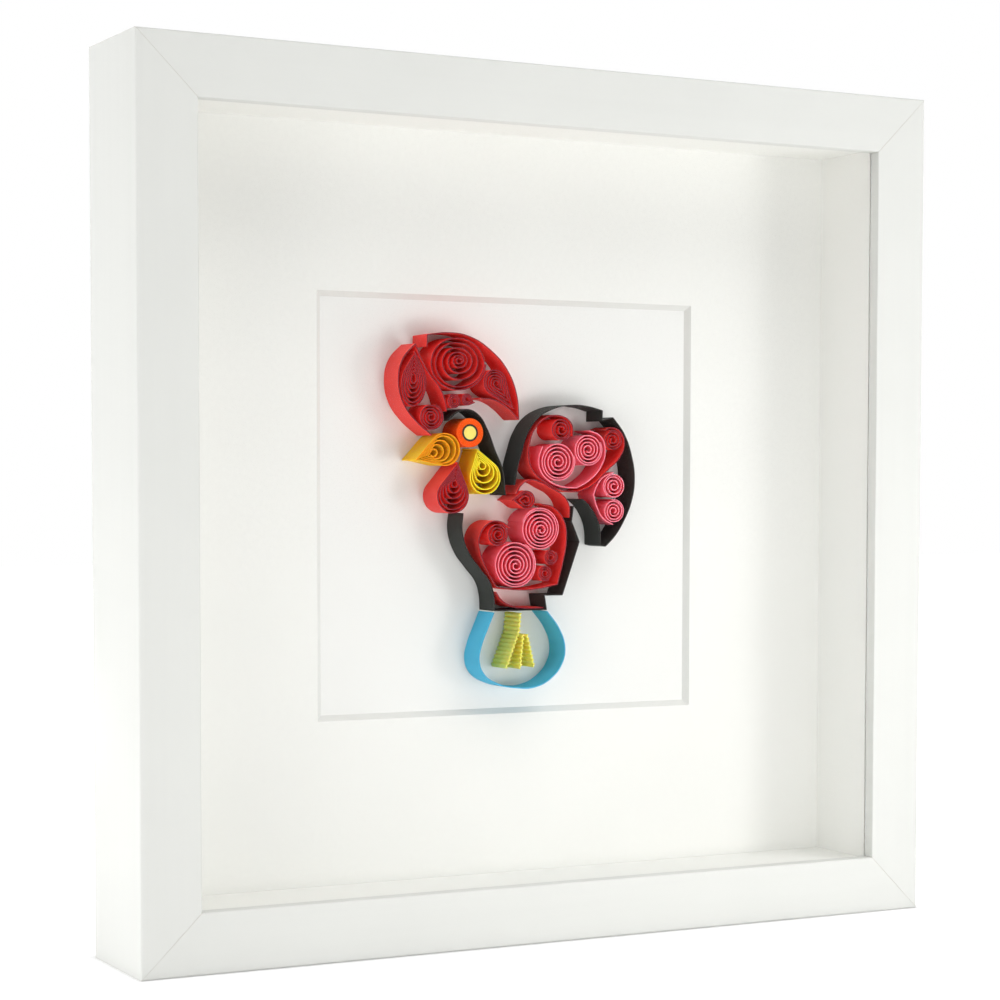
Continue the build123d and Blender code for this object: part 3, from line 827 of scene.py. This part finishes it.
outlineStrips = {
    "comb_left_petal": ("paper_red", [
        [(-29.6, 20.7), (-34.9, 25.0), (-38.7, 30.2), (-40.0, 36.5), (-38.6, 42.4), (-34.7, 46.7)],
        [(-32.9, 42.5), (-30.4, 38.3), (-27.4, 34.8), (-25.6, 31.2), (-24.8, 27.6)],
    ]),
    "comb_rim": ("paper_red", [
        [(-31.1, 46.0), (-30.9, 49.4)],
        [(-24.5, 50.2), (-17.6, 49.3), (-10.6, 45.4), (-5.2, 39.6), (-2.3, 32.6), (-1.6, 25.6)],
        [(-5.3, 28.9), (-9.5, 31.1), (-14.0, 31.6)],
    ]),
    "head_strip": ("paper_black", [
        [(-24.4, 25.0), (-21.6, 27.3), (-18.0, 28.2), (-14.6, 26.6), (-12.0, 22.8), (-9.4, 16.6),
         (-6.8, 10.5), (-6.0, 3.4)],
    ]),
    "body_outline": ("paper_black", [
        [(-19.6, -1.8), (-19.9, -7.0), (-17.8, -13.3), (-14.2, -18.0), (-11.0, -22.0), (-9.7, -26.0),
         (-9.4, -30.4)],
        [(7.6, -30.4)], [(6.9, -26.1)], [(12.9, -26.1)], [(18.5, -10.4)], [(15.9, -4.4)], [(16.5, 0.2)],
    ]),
    "body_heart": ("paper_red", [
        [(-4.6, -6.0), (-7.5, -4.3), (-11.5, -4.9), (-14.3, -8.6), (-14.0, -13.5), (-11.8, -18.6),
         (-8.9, -23.4)],
        [(-2.0, -24.4), (5.0, -24.1), (11.2, -23.0)],
        [(13.0, -16.5), (14.2, -9.5), (13.3, -4.0), (9.8, -0.1), (5.8, 0.8)],
    ]),
    "breast_strip": ("paper_red", [
        [(-2.4, 3.8), (-0.8, 6.3), (2.2, 7.9), (5.5, 7.3), (9.0, 5.6), (12.6, 3.7), (15.0, 0.6),
         (15.2, -3.2)],
    ]),
    "lower_body_strip": ("paper_red", [
        [(-9.0, -24.9), (-7.2, -27.3), (-3.6, -29.2), (1.0, -29.8), (6.6, -29.8)],
    ]),
    "tail_outline": ("paper_black", [
        [(-2.9, 6.4), (-2.1, 11.0), (-0.6, 16.5), (1.2, 21.5), (4.4, 25.9), (9.4, 28.8), (15.5, 30.0),
         (21.0, 29.8), (26.2, 28.6)],
        [(26.1, 25.6)], [(29.8, 26.6)],
        [(33.6, 21.8), (36.1, 15.5), (37.2, 8.5), (36.3, 2.0), (33.6, -4.2), (30.5, -8.8),
         (27.4, -11.8)],
        [(25.7, -11.4)],
        [(25.4, -6.5), (23.9, -2.6), (21.6, 0.5), (19.6, 2.2)],
    ]),
    "tail_red_heart": ("paper_red", [
        [(16.3, 20.9), (15.7, 24.7), (12.5, 26.8), (8.0, 26.4), (4.0, 23.4), (1.9, 18.5), (1.8, 13.6),
         (3.4, 10.2), (7.5, 7.0), (12.5, 5.0), (18.0, 4.4)],
        [(22.5, 6.2), (28.0, 10.9), (32.0, 14.6), (33.7, 18.4), (32.7, 22.0), (29.9, 23.6),
         (27.4, 23.0)],
    ]),
    "tail_pink_heart": ("paper_pink", [
        [(6.2, 17.8), (5.0, 14.0), (5.6, 10.6), (8.2, 7.8), (12.6, 6.0), (17.6, 5.6)],
        [(22.0, 8.0), (25.8, 12.0), (27.2, 16.8), (25.6, 21.0), (21.8, 22.6)],
    ]),
    "small_pink_heart": ("paper_pink", [
        [(30.2, 10.2), (26.6, 8.8), (24.4, 6.2), (23.3, 3.5)],
        [(24.6, -0.4), (26.8, -3.7), (30.0, -5.3)],
    ]),
    "blue_base": ("paper_blue", [
        [(-9.6, -30.9), (-11.4, -35.0), (-13.6, -40.4), (-14.4, -45.0), (-12.8, -49.0), (-8.6, -51.8),
         (-2.0, -53.3), (4.0, -53.2), (9.5, -50.6), (13.1, -46.0), (13.8, -41.6), (12.0, -36.4),
         (7.8, -30.9)],
    ]),
}
for node, (slot, runs) in outlineStrips.items():
    quilledStrip(node, slot, runs, stripNodes)
print("outline strips bent")

coils = {
    "paper_red": {
        "comb_big_coil": dict(centre=(-21.2, 41.4), radius=7.8, turns=6, eye=(0.4, 1.0), stretch=1.15,
                              growth=1.5),
        "comb_left_coil": dict(centre=(-35.3, 35.2), radius=4.1, turns=6, eye=(0, 1.8), tip=5.8,
                               heading=88, stretch=1.66),
        "comb_petal_coil": dict(centre=(-29.6, 25.9), radius=3.85, turns=4, heading=70),
        "comb_small_coil_left": dict(centre=(-22.6, 30.5), radius=2.2, turns=3, heading=130),
        "comb_small_coil_right": dict(centre=(-18.3, 31.2), radius=1.9, turns=3, tip=2.8, heading=-20),
        "comb_tip_coil": dict(centre=(-9.3, 36.3), radius=3.9, turns=5, eye=(0.6, -0.4), tip=10.1,
                              heading=-51),
        "wattle": dict(centre=(-22.9, 3.2), radius=5.25, turns=6, eye=(0.6, 3.9), tip=10.1,
                       heading=81.5),
        "body_left_coil": dict(centre=(-8.4, -8.1), radius=3.4, turns=3.5, eye=(0.4, 0), heading=250),
        "body_small_coil_upper": dict(centre=(9.0, -14.9), radius=2.35, turns=3, heading=40),
        "body_small_coil_lower": dict(centre=(7.2, -19.6), radius=2.4, turns=3, heading=300),
        "breast_teardrop": dict(centre=(1.0, 2.0), radius=2.9, turns=3, tip=5.0, heading=182),
        "tail_red_coil_left": dict(centre=(12.4, 22.9), radius=3.3, turns=3, eye=(0.5, 0), heading=340),
        "tail_red_coil_right": dict(centre=(29.9, 19.9), radius=3.1, turns=3, heading=120),
    },
    "paper_pink": {
        "body_upper_coil": dict(centre=(5.5, -6.5), radius=6.3, turns=6, eye=(0.5, -0.4), heading=160),
        "body_lower_coil": dict(centre=(-2.7, -16.9), radius=6.85, turns=6, eye=(0.3, -0.4),
                                heading=60),
        "tail_pink_coil_left": dict(centre=(11.4, 13.3), radius=5.7, turns=5, heading=20),
        "tail_pink_coil_right": dict(centre=(21.5, 16.9), radius=4.75, turns=4.5, heading=210),
        "small_pink_coil_upper": dict(centre=(30.2, 6.15), radius=3.75, turns=3.5, heading=50),
        "small_pink_coil_lower": dict(centre=(30.2, -1.3), radius=3.55, turns=3.5, heading=280),
    },
    "paper_amber": {
        "beak": dict(centre=(-25.3, 16.5), radius=4.95, turns=5, eye=(-4.0, -1.3), tip=10.0,
                     heading=198.6),
    },
    "paper_yellow": {
        "ear_lobe": dict(centre=(-12.6, 8.6), radius=5.15, turns=5, eye=(-1.2, 3.8), tip=8.9,
                         heading=108.2),
    },
}
for slot, group in coils.items():
    for node, shape in group.items():
        quilledCoil(node, slot, shape)
print("coils wound")

toeStrips = {
    "left_toe_strip": [[(-0.9, -31.2)], [(-1.4, -36.6)], [(-5.6, -47.4)]],
    "middle_toe_strip": [[(0.0, -37.6)], [(-1.0, -47.7)]],
    "right_toe_strip": [[(1.3, -37.6)], [(3.6, -47.3)]],
}
crimp = {"pitch": 1.3, "depth": 0.24, "stepsPerWave": 10}
crimpValues = {
    "Pitch": crimp["pitch"] * mm, "Depth": crimp["depth"] * mm, "Steps": crimp["stepsPerWave"],
    "Paper": papers["paper_lemon"],
}
for node, runs in toeStrips.items():
    quilledStrip(node, "paper_yellow", runs, crimpNodes, crimpValues)
print("toes crimped")

# The eye's disc and rings are wound so tightly that only fine grooves show between their turns
eye = {
    "centre": (-17.4, 21.5), "groove": 0.05, "sides": 96,
    "rings": {
        "eye_disc": ("paper_cream", 0.12, 1.95, 6),
        "eye_black_ring": ("paper_black", 1.95, 2.5, 2),
        "eye_orange_ring": ("paper_orange", 2.5, 4.2, 6),
    },
}


def woundRing(node, slot, inner, outer, layers):
    # the section of the wound strips is spun round the ring's own middle
    back = cardFace / mm
    front = back - paperSizes["height"]
    layer, groove = (outer - inner) / layers, eye["groove"]
    section = [(inner, back), (inner, front)]
    for i in range(1, layers):
        edge = inner + i * layer
        section += [(edge - groove, front), (edge, front + groove), (edge + groove, front)]
    section += [(outer, front), (outer, back)]
    across, up = eye["centre"]
    work = spun(section, across, frameMiddle + up, eye["sides"], closed=True)
    place(finishMesh(work, "quilled_" + node, papers[slot]), slot, node)


for node, (slot, inner, outer, layers) in eye["rings"].items():
    woundRing(node, slot, inner, outer, layers)
print("eye wound")


# Room: white floor, white surround and soft lamps

room = {
    "floorSize": 6, "floorColour": (250, 250, 250), "floorShade": 0.985, "floorCloud": 3,
    "floorRoughness": 0.9, "floorSpecular": 0.1,
    "glow": (0.35, 1.0), "glowReach": (0.06, 0.26),  # near the frame and far from it, in metres
    # the contact shade is painted: the floor's colour darkens towards black close to the frame's foot
    "paintedContactShade": 0.66, "contactReach": (0.4, 4.5),  # a soft shade round the frame's foot, in millimetres
    "surround": 0.2, "aim": (0, 0, 0.12),
    "lamps": {
        "overheadLeft": {"place": (-0.25, -0.62, 1.15), "size": 1.0, "power": 0.8},
        "overheadBack": {"place": (-0.45, -0.25, 1.1), "size": 0.7, "power": 1.8},
        "overheadRight": {"place": (0.35, -0.55, 1.05), "size": 0.8, "power": 4.6},
        "leftFront": {"place": (-0.95, -0.55, 0.12), "size": 0.6, "power": 2.2},
        "frontLow": {"place": (0.04, -0.29, 0.025), "size": 0.12, "power": 0.25},
        "leftSide": {"place": (-1.0, -0.1, 0.26), "size": 0.5, "power": 1.0},
        "leftLow": {"place": (-0.45, 0.0, 0.04), "size": 0.07, "power": 0.45},
        "rightLow": {"place": (0.34, -0.36, 0.07), "size": 0.14, "power": 0.46},
        "rightSoft": {"place": (0.65, -0.4, 0.3), "size": 0.5, "power": 0.35},
        "frontSoft": {"place": (0, -1.0, 0.08), "size": 0.35, "power": 1.1},
        "rightSide": {"place": (1.0, 0.16, 0.3), "size": 0.5, "power": 2.6},
        "behind": {"place": (-0.3, 1.2, 0.7), "size": 0.9, "power": 9},
    },
}


def seenDirectly(tree):
    # true for what the camera, a mirror or glass sees
    path = addNode(tree, "ShaderNodeLightPath").outputs
    mirrored = calc(tree, "MAXIMUM", path["Is Glossy Ray"], path["Is Transmission Ray"])
    return calc(tree, "MAXIMUM", path["Is Camera Ray"], mirrored)


def floorMaterial():
    material, tree, shader, coords = newMaterial("paleFloor")
    base = linear(*room["floorColour"])
    cloud = noise(tree, coords, room["floorCloud"], detail=1)
    spot = addNode(tree, "ShaderNodeSeparateXYZ", {0: coords}).outputs
    gaps = []
    for axis, key in ((0, "size"), (1, "depth")):
        past = calc(tree, "SUBTRACT", calc(tree, "ABSOLUTE", spot[axis]), frameSizes[key] * mm / 2)
        gaps.append(calc(tree, "MAXIMUM", 0.0, past))
    apart = calc(tree, "SQRT", calc(tree, "ADD", *(calc(tree, "MULTIPLY", gap, gap) for gap in gaps)))
    # painted contact shadow: within a few millimetres of the frame's foot the floor's colour and glow fall
    # off
    paintedContactShade = remap(tree, apart, room["paintedContactShade"], 1.0, *(reach * mm for reach in room["contactReach"]))
    tone = mixColour(tree, remap(tree, cloud, 0.0, 1.0), base, shaded(base, room["floorShade"]))
    away = addNode(tree, "ShaderNodeVectorMath", {0: coords}, operation="LENGTH").outputs["Value"]
    (near, far), (glowNear, glowFar) = room["glowReach"], room["glow"]
    glow = addNode(tree, "ShaderNodeMapRange", {
        "Value": away, "From Min": near, "From Max": far, "To Min": glowNear, "To Max": glowFar},
        interpolation_type="SMOOTHSTEP").outputs[0]
    glow = calc(tree, "MULTIPLY", glow, paintedContactShade)
    feed(tree, shader, {
        "Base Color": mixColour(tree, paintedContactShade, (0, 0, 0, 1), tone),
        "Roughness": room["floorRoughness"], "Specular IOR Level": room["floorSpecular"],
        "Emission Color": (1, 1, 1, 1),
        "Emission Strength": calc(tree, "MULTIPLY", seenDirectly(tree), glow),
    })
    return material


def layFloor():
    work = bmesh.new()
    bmesh.ops.create_grid(work, x_segments=8, y_segments=8, size=room["floorSize"] / 2)
    mesh = bpy.data.meshes.new("paleFloor")
    work.to_mesh(mesh)
    work.free()
    floor = meshPiece("paleFloor", mesh, floorMaterial())


def hangSurround():
    world = bpy.data.worlds.new("whiteSurround")
    world.use_nodes = True
    tree = world.node_tree
    strength = addNode(tree, "ShaderNodeMapRange", {
        "Value": seenDirectly(tree), "To Min": room["surround"], "To Max": 1.0}).outputs[0]
    feed(tree, tree.nodes["Background"], {"Color": (1, 1, 1, 1), "Strength": strength})
    bpy.context.scene.world = world


def hangLamp(name, lamp):
    data = bpy.data.lights.new(name, "AREA")
    data.shape = "DISK"
    data.size = lamp["size"]
    data.energy = lamp["power"]
    light = linkObject(bpy.data.objects.new(name, data))
    light.location = lamp["place"]
    light.visible_camera = light.visible_glossy = False
    aim = Vector(room["aim"]) - light.location
    light.rotation_euler = aim.to_track_quat("-Z", "Y").to_euler()


layFloor()
hangSurround()
for name, lamp in room["lamps"].items():
    hangLamp(name, lamp)
print("room lit")
